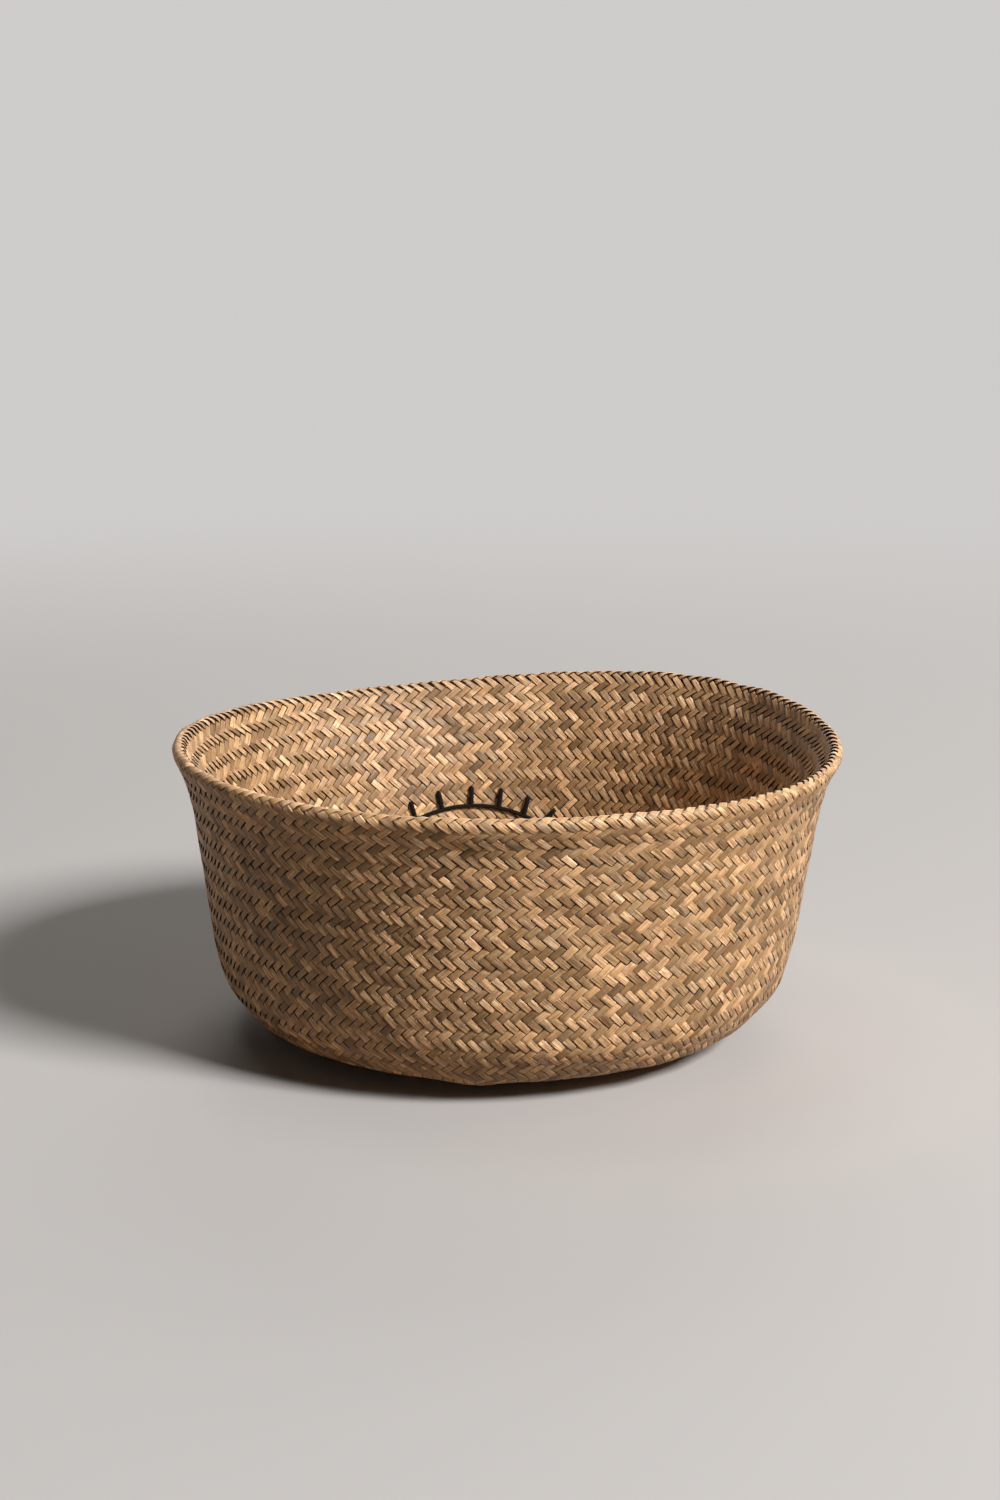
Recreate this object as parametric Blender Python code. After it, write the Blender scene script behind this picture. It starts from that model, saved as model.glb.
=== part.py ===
"""Round belly basket plaited from flat strips, with its upper half pushed down inside.

The plaited fabric is one skin that runs from the middle of the base out to the
shoulder, up the outer wall, over the folded rim and down inside to the hem of
the mouth. Each piece below is one stretch of that skin. A stitched closed eye
sits on the inner wall.

Units are metres and radians, +Z is up, and the origin is on the floor under the
middle of the basket.
"""

import math

import bmesh
import bpy
from mathutils import Vector

# Whole basket
RIM_RADIUS = 0.200
RIM_HEIGHT = 0.178
FABRIC = 0.0022
SEAT_GAP = 0.0003

# Rim waves: how far the rim rises and falls, and where each wave peaks
RIM_TILT = 0.0028
RIM_TILT_TURN = math.radians(60.0)
RIM_SADDLE = 0.0034
RIM_SADDLE_TURN = math.radians(37.0)
RIM_TRIPLE = 0.0023
RIM_TRIPLE_TURN = math.radians(50.0)
RIM_OVAL = 0.0016
RIM_OVAL_TURN = math.radians(22.0)
WAVE_POWER = 1.5

# Base: a flat ring on the floor, a raised middle, and the four corners of the square mat
# that the plaiting starts from, with the edge arched up a little between them
BASE_RADIUS = 0.114
BASE_RING_WIDTH = 0.034
BASE_DOME = 0.0015
BASE_TURN_WIDTH = 0.0174
BASE_EDGE_HEIGHT = 0.0054
BASE_CORNER = 0.0012
BASE_CORNER_TURN = math.radians(-96.0)
BASE_CORNER_HEIGHT = 0.042
BASE_ARCH = 0.0034
CORNER_SHARPNESS = 18

# Lean: how far the base sits off the rim's middle, and on which side
BODY_LEAN = 0.0034
BODY_LEAN_TURN = math.radians(205.0)

# Outer wall, from the base's edge to the fold: each point is a share of the way from the
# base's edge out to the rim, and a share of the rim's height. The shoulder is its first stretch
WALL_OUTLINE_shares = (
    (0.280, 0.069),
    (0.427, 0.127),
    (0.558, 0.203),
    (0.641, 0.320),
    (0.696, 0.460),
    (0.751, 0.620),
    (0.809, 0.760),
    (0.875, 0.880),
)
SHOULDER_REACH = 0.040

# Fold: the fabric turns over in a round arch
FOLD_WIDTH = 0.0080
FOLD_DEPTH = 0.0130
FOLD_LEAN = math.radians(20.0)

# Collar: the upper half, hanging inside from the fold, in the same shares as the outer wall
COLLAR_LEAN = math.radians(18.0)
COLLAR_OUTLINE_shares = (
    (0.770, 0.880),
    (0.673, 0.760),
    (0.606, 0.620),
    (0.545, 0.460),
    (0.478, 0.320),
)

# Hem of the mouth, low inside the basket, a share of the way from the base's edge to the rim
HEM_REACH_share = 0.388
HEM_HEIGHT = 0.0300
HEM_WIDTH = 0.0046
HEM_DEPTH = 0.0090

# Stitched eye on the inner wall
EYE_TURN = math.radians(98.8)
EYE_TOP_HEIGHT = 0.0940
EYE_SAG_RADIUS = 0.0822
LID_YARN = 0.0022
LID_START_TURN = math.radians(14.0)
LID_END_TURN = math.radians(19.6)
LASH_YARN = 0.0026
LASH_LENGTH = 0.0110
LASH_TURNS = tuple(math.radians(turn) for turn in (111.0, 104.6, 97.8, 91.4, 85.6, 81.0))
LASH_LEANS = tuple(math.radians(lean) for lean in (-13.8, -10.0, 1.2, 6.0, 12.4, 33.5))
LASH_FULLNESS_shares = (0.55, 0.90, 1.00, 1.00, 0.88, 0.50)

# Mesh fineness: how many steps each stretch of the section and each stitch is made of
SEGMENTS = 60
CURVE_STEPS = 6
DOME_STEPS = 4
TURN_STEPS = 3
SHOULDER_STEPS = 5
WALL_STEPS = 9
LEAF_STEPS = 2
FOLD_STEPS = 12
COLLAR_STEPS = 9
HEM_CORNER_STEPS = 4
LID_STEPS = 22
YARN_STEPS = 2
MERGE_share = 0.01
SHARP_EDGE = math.radians(50.0)

# Colours
STRAW = (0.43, 0.27, 0.13)
STRAW_INNER = (0.50, 0.32, 0.17)
STRAW_HEM = (0.46, 0.29, 0.14)
BLACK_YARN = (0.012, 0.011, 0.011)
STRAW_ROUGHNESS = 0.62
HEM_ROUGHNESS = 0.66
YARN_ROUGHNESS = 0.90


# Scene and materials

def clear_scene():
    for thing in list(bpy.context.scene.objects):
        bpy.data.objects.remove(thing, do_unlink=True)


def fibre_material(name, colour, roughness):
    material = bpy.data.materials.new(name)
    material.use_nodes = True
    shader = material.node_tree.nodes["Principled BSDF"]
    shader.inputs["Base Color"].default_value = (*colour, 1.0)
    shader.inputs["Roughness"].default_value = roughness
    shader.inputs["Metallic"].default_value = 0.0
    return material


def add_object(name, data, material, location=(0.0, 0.0, 0.0)):
    data.materials.append(material)
    thing = bpy.data.objects.new(name, data)
    thing.location = location
    bpy.context.scene.collection.objects.link(thing)
    return thing


# Meridian: the middle of the fabric, from the centre of the base to the hem, as (radius, height)

def curve_through(points, start_direction, end_direction, steps):
    """Smooth line through the points, with a given direction at each end."""
    directions = [Vector(start_direction).normalized()]
    for before, after in zip(points, points[2:]):
        directions.append((after - before).normalized())
    directions.append(Vector(end_direction).normalized())
    line = [points[0]]
    for index in range(len(points) - 1):
        start, end = points[index], points[index + 1]
        span = (end - start).length
        for step in range(1, steps + 1):
            t = step / steps
            line.append(
                start * (2 * t**3 - 3 * t**2 + 1)
                + directions[index] * span * (t**3 - 2 * t**2 + t)
                + end * (3 * t**2 - 2 * t**3)
                + directions[index + 1] * span * (t**3 - t**2)
            )
    return line


def base_edge():
    return Vector((BASE_RADIUS + BASE_TURN_WIDTH, BASE_EDGE_HEIGHT))


def radius_at(reach_share):
    """Radius at a share of the way from the base's edge to the rim."""
    inner_radius = base_edge().x
    return inner_radius + (RIM_RADIUS - inner_radius) * reach_share


def outline_points(shares):
    return [Vector((radius_at(reach), RIM_HEIGHT * rise)) for reach, rise in shares]


def hem_radius():
    return radius_at(HEM_REACH_share)


def fold_centre():
    return Vector((RIM_RADIUS - FOLD_WIDTH / 2, RIM_HEIGHT - FOLD_WIDTH / 2))


def fold_point(angle):
    reach = (FOLD_WIDTH - FABRIC) / 2
    return fold_centre() + Vector((math.cos(angle), math.sin(angle))) * reach


def base_line():
    """Raised middle and flat ring."""
    ring_inner = BASE_RADIUS - BASE_RING_WIDTH
    line = []
    for step in range(DOME_STEPS):
        share = step / DOME_STEPS
        rise = BASE_DOME * (1 + math.cos(math.pi * share)) / 2
        line.append(Vector((ring_inner * share, FABRIC / 2 + rise)))
    line.append(Vector((ring_inner, FABRIC / 2)))
    line.append(Vector((BASE_RADIUS, FABRIC / 2)))
    return line


def wall_line():
    """From the flat ring's edge up the shoulder and the wall to the start of the fold."""
    points = [Vector((BASE_RADIUS, FABRIC / 2)), base_edge()]
    points += outline_points(WALL_OUTLINE_shares)
    points.append(fold_point(-FOLD_LEAN))
    lean = (math.sin(FOLD_LEAN), math.cos(FOLD_LEAN))
    return curve_through(points, (1.0, 0.0), lean, CURVE_STEPS)


def turn_reach():
    """How far along the wall line the base ends and the shoulder begins."""
    return (base_edge() - Vector((BASE_RADIUS, FABRIC / 2))).length


def fold_line():
    """Round arch from the outer face over the top to the inner face."""
    start, end = -FOLD_LEAN, math.pi - COLLAR_LEAN
    return [fold_point(start + (end - start) * step / FOLD_STEPS) for step in range(FOLD_STEPS + 1)]


def collar_line():
    """From the fold down inside to the top of the hem."""
    hem_top = Vector((hem_radius(), HEM_HEIGHT + HEM_DEPTH))
    points = [fold_point(math.pi - COLLAR_LEAN)] + outline_points(COLLAR_OUTLINE_shares) + [hem_top]
    lean = (-math.sin(COLLAR_LEAN), -math.cos(COLLAR_LEAN))
    return curve_through(points, lean, (-math.sin(COLLAR_LEAN / 2), -1.0), CURVE_STEPS)


def leaf_depth():
    """How far the rim's piece hangs down from its arch on each side."""
    return FOLD_DEPTH - FOLD_WIDTH / 2


def length_of(line):
    return sum((after - before).length for before, after in zip(line, line[1:]))


def stretch(line, start, end, steps):
    """Evenly spaced points along a line, from one distance along it to another."""
    distances = [0.0]
    for before, after in zip(line, line[1:]):
        distances.append(distances[-1] + (after - before).length)
    points = []
    for step in range(steps + 1):
        wanted = start + (end - start) * step / steps
        index = 0
        while index < len(line) - 2 and distances[index + 1] < wanted:
            index += 1
        share = (wanted - distances[index]) / (distances[index + 1] - distances[index])
        points.append(line[index].lerp(line[index + 1], share))
    return points


# Shape of the real, uneven basket

def shaped(point):
    """Moves a point of the evenly turned basket to where it lies on the uneven one."""
    radius = math.hypot(point.x, point.y)
    turn = math.atan2(point.y, point.x)
    rise = min(max(point.z / RIM_HEIGHT, 0.0), 1.0)
    wave = RIM_TILT * math.cos(turn - RIM_TILT_TURN)
    wave += RIM_SADDLE * math.cos(2 * (turn - RIM_SADDLE_TURN))
    wave += RIM_TRIPLE * math.cos(3 * (turn - RIM_TRIPLE_TURN))
    corner = ((1 + math.cos(4 * (turn - BASE_CORNER_TURN))) / 2) ** CORNER_SHARPNESS
    low = max(1 - point.z / BASE_CORNER_HEIGHT, 0.0) ** 2
    past_ring = (radius - BASE_RADIUS) / BASE_TURN_WIDTH
    arch = BASE_ARCH * (1 - corner) * low * min(max(past_ring, 0.0), 1.0)
    swell = RIM_OVAL * math.cos(2 * (turn - RIM_OVAL_TURN)) * rise + BASE_CORNER * corner * low
    radius += swell * min(radius / BASE_RADIUS, 1.0)
    lean = BODY_LEAN * (1 - rise)
    return Vector((
        radius * math.cos(turn) + lean * math.cos(BODY_LEAN_TURN),
        radius * math.sin(turn) + lean * math.sin(BODY_LEAN_TURN),
        point.z + wave * rise**WAVE_POWER + arch,
    ))


# Turned pieces

def offset_line(line, distance):
    """The line moved sideways, to its right when distance is positive."""
    moved = []
    for index, point in enumerate(line):
        before = line[max(index - 1, 0)]
        after = line[min(index + 1, len(line) - 1)]
        along = (after - before).normalized()
        moved.append(point + Vector((along.y, -along.x)) * distance)
    return moved


def turned_mesh(name, section, closed, origin_height=0.0):
    """Turns a section of (radius, height) points around the upright axis and shapes it."""
    mesh_builder = bmesh.new()
    corners = [mesh_builder.verts.new((point.x, 0.0, point.y)) for point in section]
    edges = [mesh_builder.edges.new(pair) for pair in zip(corners, corners[1:])]
    if closed:
        edges.append(mesh_builder.edges.new((corners[-1], corners[0])))
    bmesh.ops.spin(
        mesh_builder,
        geom=corners + edges,
        cent=(0.0, 0.0, 0.0),
        axis=(0.0, 0.0, 1.0),
        angle=2 * math.pi,
        steps=SEGMENTS,
        use_merge=True,
    )
    bmesh.ops.remove_doubles(mesh_builder, verts=mesh_builder.verts, dist=SEAT_GAP * MERGE_share)
    for corner in mesh_builder.verts:
        corner.co = shaped(corner.co) - Vector((0.0, 0.0, origin_height))
    bmesh.ops.recalc_face_normals(mesh_builder, faces=mesh_builder.faces)
    mesh = bpy.data.meshes.new(name)
    mesh_builder.to_mesh(mesh)
    mesh_builder.free()
    mesh.shade_smooth()
    mesh.set_sharp_from_angle(angle=SHARP_EDGE)
    return mesh


def fabric_ring(name, line, material):
    """A ring of fabric whose middle follows the line."""
    section = offset_line(line, FABRIC / 2) + offset_line(line, -FABRIC / 2)[::-1]
    return add_object(name, turned_mesh(name, section, True), material)


def make_base(material):
    """The mat on the floor and the first rise of its edge."""
    line = base_line() + stretch(wall_line(), 0.0, turn_reach() - SEAT_GAP / 2, TURN_STEPS)[1:]
    lower = offset_line(line, FABRIC / 2)
    upper = offset_line(line, -FABRIC / 2)
    lower[0].x = 0.0
    upper[0].x = 0.0
    return add_object("woven_base", turned_mesh("woven_base", lower + upper[::-1], False), material)


def make_shoulder(material):
    """The curve between base and wall."""
    start = turn_reach() + SEAT_GAP / 2
    end = turn_reach() + SHOULDER_REACH - SEAT_GAP / 2
    return fabric_ring("shoulder", stretch(wall_line(), start, end, SHOULDER_STEPS), material)


def make_outer_wall(material):
    wall = wall_line()
    start = turn_reach() + SHOULDER_REACH + SEAT_GAP / 2
    end = length_of(wall) - leaf_depth() - SEAT_GAP / 2
    return fabric_ring("outer_wall", stretch(wall, start, end, WALL_STEPS), material)


def make_rim_fold(material):
    """The arch with a leaf on each side, which meets the outer wall and the inner wall."""
    wall = wall_line()
    end = length_of(wall)
    outer_leaf = stretch(wall, end - leaf_depth() + SEAT_GAP / 2, end, LEAF_STEPS)
    inner_leaf = stretch(collar_line(), 0.0, leaf_depth() - SEAT_GAP / 2, LEAF_STEPS)
    return fabric_ring("rim_fold", outer_leaf + fold_line()[1:-1] + inner_leaf, material)


def collar_stretch():
    collar = collar_line()
    return stretch(collar, leaf_depth() + SEAT_GAP / 2, length_of(collar) - SEAT_GAP, COLLAR_STEPS)


def make_inner_wall(material):
    return fabric_ring("inner_wall", collar_stretch(), material)


def make_mouth_hem(material):
    """Strip ends turned back into a bead. It slides along the axis, where its origin is."""
    half_width = HEM_WIDTH / 2
    centre_radius = hem_radius() - FABRIC / 2
    section = []
    for centre_height, first_angle in (
        (HEM_HEIGHT + HEM_DEPTH - half_width, 0.0),
        (HEM_HEIGHT + half_width, math.pi),
    ):
        for step in range(HEM_CORNER_STEPS + 1):
            angle = first_angle + math.pi * step / HEM_CORNER_STEPS
            section.append(Vector((
                centre_radius + half_width * math.cos(angle),
                centre_height + half_width * math.sin(angle),
            )))
    mesh = turned_mesh("mouth_hem", section, True, origin_height=HEM_HEIGHT)
    return add_object("mouth_hem", mesh, material, location=(0.0, 0.0, HEM_HEIGHT))


# Stitches

def on_collar(turn, height, stand_off):
    """Point over the inner wall's open face, a given distance from its flat facets."""
    line = collar_stretch()
    index = 0
    while index < len(line) - 2 and line[index + 1].y > height:
        index += 1
    upper, lower = line[index], line[index + 1]
    share = (upper.y - height) / (upper.y - lower.y)
    middle = upper.lerp(lower, share)
    along = (lower - upper).normalized()
    facet_sag = middle.x * (1 - math.cos(math.pi / SEGMENTS))
    inward = Vector((along.y, -along.x))
    place = middle + inward * (FABRIC / 2 + stand_off + facet_sag)
    return shaped(Vector((place.x * math.cos(turn), place.x * math.sin(turn), place.y)))


def yarn_curve(name, places, thickness, fullness_shares):
    curve = bpy.data.curves.new(name, "CURVE")
    curve.dimensions = "3D"
    curve.bevel_depth = thickness / 2
    curve.bevel_resolution = YARN_STEPS
    curve.use_fill_caps = True
    spline = curve.splines.new("POLY")
    spline.points.add(len(places) - 1)
    for point, place, fullness in zip(spline.points, places, fullness_shares):
        point.co = (*place, 1.0)
        point.radius = fullness
    return curve


def lid_place(offset_turn):
    """Turn and height of the lid line, a shallow arc, at an angle from the eye's middle."""
    along = hem_radius() * offset_turn
    return EYE_TURN - offset_turn, EYE_TOP_HEIGHT - along**2 / (2 * EYE_SAG_RADIUS)


def make_lid_stitch(material):
    places = []
    for step in range(LID_STEPS + 1):
        offset = -LID_START_TURN + (LID_START_TURN + LID_END_TURN) * step / LID_STEPS
        turn, height = lid_place(offset)
        places.append(on_collar(turn, height, SEAT_GAP + LID_YARN / 2))
    fullness = [LASH_FULLNESS_shares[0]] + [1.0] * (LID_STEPS - 1) + [LASH_FULLNESS_shares[-1]]
    return add_object("lid_stitch", yarn_curve("lid_stitch", places, LID_YARN, fullness), material)


def make_lash(number, turn, lean, material):
    """One straight stitch, which starts at the lid line."""
    name = f"lash_{number}"
    height = lid_place(EYE_TURN - turn)[1]
    first = (LID_YARN + LASH_YARN) / 2 + SEAT_GAP
    last_step = len(LASH_FULLNESS_shares) - 1
    places = []
    for step in range(last_step + 1):
        reach = first + LASH_LENGTH * step / last_step
        across = reach * math.sin(lean) / hem_radius()
        up = reach * math.cos(lean)
        places.append(on_collar(turn - across, height + up, SEAT_GAP + LASH_YARN / 2))
    return add_object(name, yarn_curve(name, places, LASH_YARN, LASH_FULLNESS_shares), material)


def main():
    clear_scene()
    straw = fibre_material("straw", STRAW, STRAW_ROUGHNESS)
    inner_straw = fibre_material("inner_straw", STRAW_INNER, STRAW_ROUGHNESS)
    hem_straw = fibre_material("hem_straw", STRAW_HEM, HEM_ROUGHNESS)
    yarn = fibre_material("black_yarn", BLACK_YARN, YARN_ROUGHNESS)
    make_base(straw)
    make_shoulder(straw)
    make_outer_wall(straw)
    make_rim_fold(straw)
    make_inner_wall(inner_straw)
    make_mouth_hem(hem_straw)
    make_lid_stitch(yarn)
    for number, (turn, lean) in enumerate(zip(LASH_TURNS, LASH_LEANS), start=1):
        make_lash(number, turn, lean, yarn)


main()
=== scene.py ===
"""Round belly basket plaited from flat strips, with its upper half pushed down inside.

Every strip of the plaiting is its own swept band: a square mat under the base, from which
the strips turn up and run round the wall, over the folded rim and down to the hem.
"""

import math

import bpy
import numpy as np
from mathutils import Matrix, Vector


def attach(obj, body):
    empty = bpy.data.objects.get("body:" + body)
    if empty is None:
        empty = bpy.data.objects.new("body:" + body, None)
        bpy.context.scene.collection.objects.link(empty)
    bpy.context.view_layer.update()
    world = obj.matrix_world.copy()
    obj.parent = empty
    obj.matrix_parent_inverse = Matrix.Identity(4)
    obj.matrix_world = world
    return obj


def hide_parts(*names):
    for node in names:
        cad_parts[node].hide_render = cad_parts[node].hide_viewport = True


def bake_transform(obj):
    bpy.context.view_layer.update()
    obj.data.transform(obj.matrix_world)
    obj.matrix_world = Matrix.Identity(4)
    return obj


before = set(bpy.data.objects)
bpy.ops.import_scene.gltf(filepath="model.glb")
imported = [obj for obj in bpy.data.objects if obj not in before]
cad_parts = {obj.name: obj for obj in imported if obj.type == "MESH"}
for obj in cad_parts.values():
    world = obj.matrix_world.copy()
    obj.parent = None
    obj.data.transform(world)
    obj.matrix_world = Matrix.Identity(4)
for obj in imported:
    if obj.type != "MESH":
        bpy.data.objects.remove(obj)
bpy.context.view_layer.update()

# Whole basket
RIM_RADIUS = 0.200
RIM_HEIGHT = 0.178
FABRIC = 0.0022

# Rim waves
RIM_TILT = 0.0028
RIM_TILT_TURN = math.radians(60.0)
RIM_SADDLE = 0.0034
RIM_SADDLE_TURN = math.radians(37.0)
RIM_TRIPLE = 0.0023
RIM_TRIPLE_TURN = math.radians(50.0)
RIM_OVAL = 0.0016
RIM_OVAL_TURN = math.radians(22.0)
WAVE_POWER = 1.5

# Base
BASE_RADIUS = 0.114
BASE_RING_WIDTH = 0.034
BASE_DOME = 0.0015
BASE_TURN_WIDTH = 0.0174
BASE_EDGE_HEIGHT = 0.0054
BASE_CORNER = 0.0012
BASE_CORNER_TURN = math.radians(-96.0)
BASE_CORNER_HEIGHT = 0.042
BASE_ARCH = 0.0034
CORNER_SHARPNESS = 18

# Lean of the body
BODY_LEAN = 0.0034
BODY_LEAN_TURN = math.radians(205.0)

# Outer wall, fold and collar
WALL_OUTLINE_shares = (
    (0.280, 0.069),
    (0.427, 0.127),
    (0.558, 0.203),
    (0.641, 0.320),
    (0.696, 0.460),
    (0.751, 0.620),
    (0.809, 0.760),
    (0.875, 0.880),
)
FOLD_WIDTH = 0.0080
FOLD_DEPTH = 0.0130
FOLD_LEAN = math.radians(20.0)
COLLAR_LEAN = math.radians(18.0)
COLLAR_OUTLINE_shares = (
    (0.921, 0.880),
    (0.888, 0.760),
    (0.865, 0.620),
    (0.844, 0.460),
    (0.821, 0.320),
)

# Hem of the mouth
HEM_RADIUS = 0.1580
HEM_HEIGHT = 0.0300
HEM_WIDTH = 0.0046
HEM_DEPTH = 0.0090
HEM_STRIP = 0.0005
HEM_SLANT = 2.2

# Stitched eye
EYE_TURN = math.radians(98.8)
EYE_TOP_HEIGHT = 0.0940
EYE_SAG_RADIUS = 0.0822
LID_YARN = 0.0022
LID_START_TURN = math.radians(14.0)
LID_END_TURN = math.radians(19.6)
LASH_YARN = 0.0026
LASH_LENGTH = 0.0116
LASH_TURNS = tuple(math.radians(turn) for turn in (111.0, 104.6, 97.8, 91.4, 85.6, 81.0))
LASH_LEANS = tuple(math.radians(lean) for lean in (-13.8, -10.0, 1.2, 6.0, 12.4, 33.5))

# Plaiting: strips of each direction round the wall, their spacing and their own thickness
STRIPS = 164
STRIP_PITCH = 0.00463
MAT_LEVELS = STRIPS // 4
MAT_REACH = 0.1596
MAT_PITCH = 0.00343
BAND = 4
BAND_SHIFT = 2
STEPS = 3
CROSSING_LIFT_share = 0.93
DIVE_LIFT_share = 0.88
DIVE_START_share = 0.37


class Kind:
    """A sort of strip: its section as (across, up) shares, half width, thickness, rise and slope.

    The slope lifts one edge of each strip, so that it lies over the next strip's edge. The waist
    is its share of width where it dives under the others.
    """

    def __init__(self, section_shares, half_width_share, thickness, rise, slope, waist_share):
        self.across = np.array([across for across, up in section_shares])
        self.up = np.array([up for across, up in section_shares])
        self.facing = np.where(self.up < -0.2, -1.0, 1.0)
        self.half_width = half_width_share
        self.thickness = thickness
        self.rise = rise
        self.slope = slope
        self.waist = waist_share
        points = np.column_stack((self.across * half_width_share * STRIP_PITCH, self.up * thickness))
        spans = np.linalg.norm(np.roll(points, -1, axis=0) - points, axis=1)
        self.columns = np.concatenate(([0.0], np.cumsum(spans)))


FLAT_shares = ((-1.0, -0.42), (-0.97, 0.43), (-0.86, 0.50), (0.86, 0.50), (0.97, 0.43), (1.0, -0.42))
DOMED_shares = ((-1.0, -0.42), (-0.96, 0.38), (-0.76, 0.50), (0.76, 0.50), (0.96, 0.38), (1.0, -0.42))
EVEN_shares = (
    (-1.0, 0.0), (-0.86, 0.38), (-0.40, 0.50), (0.40, 0.50),
    (0.86, 0.38), (1.0, 0.0), (0.84, -0.46), (-0.84, -0.46),
)
RISING = Kind(FLAT_shares, 0.470, 0.00060, 0.00038, 0.00034, 0.98)
FALLING = Kind(DOMED_shares, 0.468, 0.00066, 0.00048, -0.00027, 0.98)
MAT = Kind(EVEN_shares, 0.486, 0.00078, 0.00046, 0.0, 0.90)
# Near the rim: how much narrower the strips are just inside its middle and over what reach; how much the painted edge
# shade is cut back at the fold and over what reach; how much paler the tones grow there; and how much the lift that
# sets the painted dive shade is raised there.
RIM_GAP_share = 0.30
RIM_GAP_REACH = 0.0036
FOLD_EDGE_SHADE_CUT_share = 0.08
FOLD_REACH = 0.0060
FOLD_PALENESS_share = 0.56
FOLD_SHADE_LIFT_share = 0.45

# How much wider the gaps are at the left than at the front, and how much of the painted side shade the falling strips
# keep outside
LOOSENESS_share = 0.085
INNER_LOOSENESS_share = 0.130
LOOSENESS_TURN = math.radians(195.0)
FALLING_SHADOW_share = 0.45
FLATNESS_share = 0.75

# At the left more of the plaiting is pulled over the rim, so that its rings lie further in
RING_SLIP = 0.0042
RING_SLIP_TURN = math.radians(150.0)
RING_SLIP_REACH = 0.050


# Meridian of the skin, from the middle of the base out, up, over the rim and down to the hem

def curve_through(points, start_direction, end_direction, steps):
    points = [np.array(point, float) for point in points]
    directions = [np.array(start_direction, float)]
    for before, after in zip(points, points[2:]):
        directions.append(after - before)
    directions.append(np.array(end_direction, float))
    directions = [direction / np.linalg.norm(direction) for direction in directions]
    line = [points[0]]
    for index in range(len(points) - 1):
        start, end = points[index], points[index + 1]
        span = np.linalg.norm(end - start)
        for step in range(1, steps + 1):
            t = step / steps
            line.append(
                start * (2 * t**3 - 3 * t**2 + 1)
                + directions[index] * span * (t**3 - 2 * t**2 + t)
                + end * (3 * t**2 - 2 * t**3)
                + directions[index + 1] * span * (t**3 - t**2)
            )
    return line


def outline_points(shares, inner_radius=0.0):
    width = RIM_RADIUS - inner_radius
    return [(inner_radius + width * reach, RIM_HEIGHT * rise) for reach, rise in shares]


def fold_point(angle):
    reach = (FOLD_WIDTH - FABRIC) / 2
    centre = np.array((RIM_RADIUS - FOLD_WIDTH / 2, RIM_HEIGHT - FOLD_WIDTH / 2))
    return centre + np.array((math.cos(angle), math.sin(angle))) * reach


def meridian():
    ring_inner = BASE_RADIUS - BASE_RING_WIDTH
    base = []
    for share in np.linspace(0.0, 1.0, 30, endpoint=False):
        rise = BASE_DOME * (1 + math.cos(math.pi * share)) / 2
        base.append(np.array((ring_inner * share, FABRIC / 2 + rise)))
    base.append(np.array((ring_inner, FABRIC / 2)))
    start = (BASE_RADIUS, FABRIC / 2)
    edge = (BASE_RADIUS + BASE_TURN_WIDTH, BASE_EDGE_HEIGHT)
    wall = curve_through(
        [start, edge] + outline_points(WALL_OUTLINE_shares, edge[0]) + [fold_point(-FOLD_LEAN)],
        (1.0, 0.0),
        (math.sin(FOLD_LEAN), math.cos(FOLD_LEAN)),
        14,
    )
    fold = [fold_point(angle) for angle in np.linspace(-FOLD_LEAN, math.pi - COLLAR_LEAN, 40)]
    collar = curve_through(
        [fold[-1]] + outline_points(COLLAR_OUTLINE_shares) + [(HEM_RADIUS, HEM_HEIGHT + HEM_DEPTH)],
        (-math.sin(COLLAR_LEAN), -math.cos(COLLAR_LEAN)),
        (-math.sin(COLLAR_LEAN / 2), -1.0),
        14,
    )
    tail = [np.array((HEM_RADIUS - FABRIC / 4, HEM_HEIGHT + HEM_DEPTH / 3))]
    line = np.array(base + wall + fold[1:] + collar[1:] + tail)
    spans = np.linalg.norm(np.diff(line, axis=0), axis=1)
    distance = np.concatenate(([0.0], np.cumsum(spans)))
    along = np.gradient(line, distance, axis=0)
    along /= np.linalg.norm(along, axis=1)[:, None]
    marks = {
        "rim_start": distance[len(base) + len(wall) - 1],
        "rim_end": distance[len(base) + len(wall) + len(fold) - 2],
    }
    return line, distance, np.column_stack((along[:, 1], -along[:, 0])), marks


LINE, DISTANCE, NORMAL, MARKS = meridian()
RIM_MIDDLE = (MARKS["rim_start"] + MARKS["rim_end"]) / 2


def shaped(radius, turn, height):
    """Moves points of the evenly turned basket to where they lie on the uneven one."""
    rise = np.clip(height / RIM_HEIGHT, 0.0, 1.0)
    wave = RIM_TILT * np.cos(turn - RIM_TILT_TURN)
    wave += RIM_SADDLE * np.cos(2 * (turn - RIM_SADDLE_TURN))
    wave += RIM_TRIPLE * np.cos(3 * (turn - RIM_TRIPLE_TURN))
    corner = ((1 + np.cos(4 * (turn - BASE_CORNER_TURN))) / 2) ** CORNER_SHARPNESS
    low = np.maximum(1 - height / BASE_CORNER_HEIGHT, 0.0) ** 2
    past_ring = np.clip((radius - BASE_RADIUS) / BASE_TURN_WIDTH, 0.0, 1.0)
    arch = BASE_ARCH * (1 - corner) * low * past_ring
    swell = RIM_OVAL * np.cos(2 * (turn - RIM_OVAL_TURN)) * rise + BASE_CORNER * corner * low
    radius = radius + swell * np.minimum(radius / BASE_RADIUS, 1.0)
    lean = BODY_LEAN * (1 - rise)
    return np.stack((
        radius * np.cos(turn) + lean * math.cos(BODY_LEAN_TURN),
        radius * np.sin(turn) + lean * math.sin(BODY_LEAN_TURN),
        height + wave * rise**WAVE_POWER + arch,
    ), axis=-1)


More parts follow.
